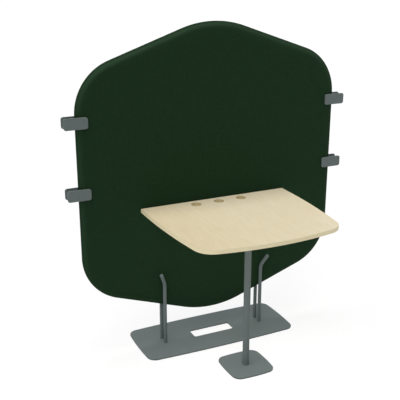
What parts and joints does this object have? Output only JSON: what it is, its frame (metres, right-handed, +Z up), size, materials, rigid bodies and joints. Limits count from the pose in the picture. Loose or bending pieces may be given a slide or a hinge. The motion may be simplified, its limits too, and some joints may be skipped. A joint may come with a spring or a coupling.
{
  "type": "desk with privacy screen",
  "caption": "Single desk with a bowed wood top on a round leg, joined at its back to a tall rounded hexagonal upholstered screen on a slotted steel base, with link clips on its edges.",
  "frame": {"origin": "on the floor, under the middle of the footprint", "axes": "+X along the screen to the sitter's right, +Y from the desk's front to the screen's back, +Z up"},
  "size_m": [1.4566, 0.8239, 1.5855],
  "materials": {
    "upholstery": "dark green woven wool cover",
    "plywood": "raw board",
    "maple_laminate": "satin pale maple",
    "maple_edge_band": "satin pale maple band",
    "grey_powder_coat": "fine matt grey powder coat",
    "zinc_steel": "bright zinc",
    "brass": "turned",
    "grip_rubber": "matt grey",
    "glide_plastic": "matt black"
  },
  "bodies": {
    "frame": {"screen_board": "plywood", "screen_board_inserts": "brass", "screen_front_padding": "upholstery", "screen_rear_padding": "upholstery", "base_plate": "grey_powder_coat", "upright_base_screws": "zinc_steel", "base_glides": "glide_plastic", "front_left_upright": "grey_powder_coat", "front_right_upright": "grey_powder_coat", "rear_left_upright": "grey_powder_coat", "rear_right_upright": "grey_powder_coat", "upright_clamp_bolts": "zinc_steel", "desk_top_board": "maple_laminate", "desk_edge_band": "maple_edge_band", "left_desk_bracket": "grey_powder_coat", "right_desk_bracket": "grey_powder_coat", "bracket_wood_screws": "zinc_steel", "bracket_screen_bolts": "zinc_steel", "leg_tube": "grey_powder_coat", "leg_foot_plug": "zinc_steel", "leg_top_flange": "grey_powder_coat", "leg_flange_screws": "zinc_steel", "leg_foot_plate": "grey_powder_coat", "leg_foot_bolt": "zinc_steel", "leg_foot_glides": "glide_plastic", "clip_guide_pins": "zinc_steel", "clip_front_pads": "grip_rubber", "upper_left_clip_front_plate": "grey_powder_coat", "upper_right_clip_front_plate": "grey_powder_coat", "lower_left_clip_front_plate": "grey_powder_coat", "lower_right_clip_front_plate": "grey_powder_coat"},
    "upper_left_jaw": {"upper_left_clip_rear_jaw": "grey_powder_coat", "upper_left_clip_jaw_pads": "grip_rubber"},
    "upper_left_screw": {"upper_left_clip_screw": "zinc_steel"},
    "upper_right_jaw": {"upper_right_clip_rear_jaw": "grey_powder_coat", "upper_right_clip_jaw_pads": "grip_rubber"},
    "upper_right_screw": {"upper_right_clip_screw": "zinc_steel"},
    "lower_left_jaw": {"lower_left_clip_rear_jaw": "grey_powder_coat", "lower_left_clip_jaw_pads": "grip_rubber"},
    "lower_left_screw": {"lower_left_clip_screw": "zinc_steel"},
    "lower_right_jaw": {"lower_right_clip_rear_jaw": "grey_powder_coat", "lower_right_clip_jaw_pads": "grip_rubber"},
    "lower_right_screw": {"lower_right_clip_screw": "zinc_steel"}
  },
  "joints": [
    {"name": "upper_left_jaw_slide", "type": "slide", "parent": "frame", "child": "upper_left_jaw", "axis": [0, 1, 0], "range_m": [0, 0.0024]},
    {"name": "upper_left_screw_turn", "type": "hinge", "parent": "upper_left_jaw", "child": "upper_left_screw", "pos_m": [-0.6763, 0.244, 1.174], "axis": [0, 1, 0], "range_deg": [0, 1080]},
    {"name": "upper_right_jaw_slide", "type": "slide", "parent": "frame", "child": "upper_right_jaw", "axis": [0, 1, 0], "range_m": [0, 0.0024]},
    {"name": "upper_right_screw_turn", "type": "hinge", "parent": "upper_right_jaw", "child": "upper_right_screw", "pos_m": [0.6763, 0.244, 1.174], "axis": [0, 1, 0], "range_deg": [0, 1080]},
    {"name": "lower_left_jaw_slide", "type": "slide", "parent": "frame", "child": "lower_left_jaw", "axis": [0, 1, 0], "range_m": [0, 0.0024]},
    {"name": "lower_left_screw_turn", "type": "hinge", "parent": "lower_left_jaw", "child": "lower_left_screw", "pos_m": [-0.6763, 0.244, 0.845], "axis": [0, 1, 0], "range_deg": [0, 1080]},
    {"name": "lower_right_jaw_slide", "type": "slide", "parent": "frame", "child": "lower_right_jaw", "axis": [0, 1, 0], "range_m": [0, 0.0024]},
    {"name": "lower_right_screw_turn", "type": "hinge", "parent": "lower_right_jaw", "child": "lower_right_screw", "pos_m": [0.6763, 0.244, 0.845], "axis": [0, 1, 0], "range_deg": [0, 1080]}
  ],
  "couplings": [
    {"joint": "upper_left_screw_turn", "follows": "upper_left_jaw_slide", "rad_per_m": 7854},
    {"joint": "upper_right_screw_turn", "follows": "upper_right_jaw_slide", "rad_per_m": 7854},
    {"joint": "lower_left_screw_turn", "follows": "lower_left_jaw_slide", "rad_per_m": 7854},
    {"joint": "lower_right_screw_turn", "follows": "lower_right_jaw_slide", "rad_per_m": 7854}
  ]
}
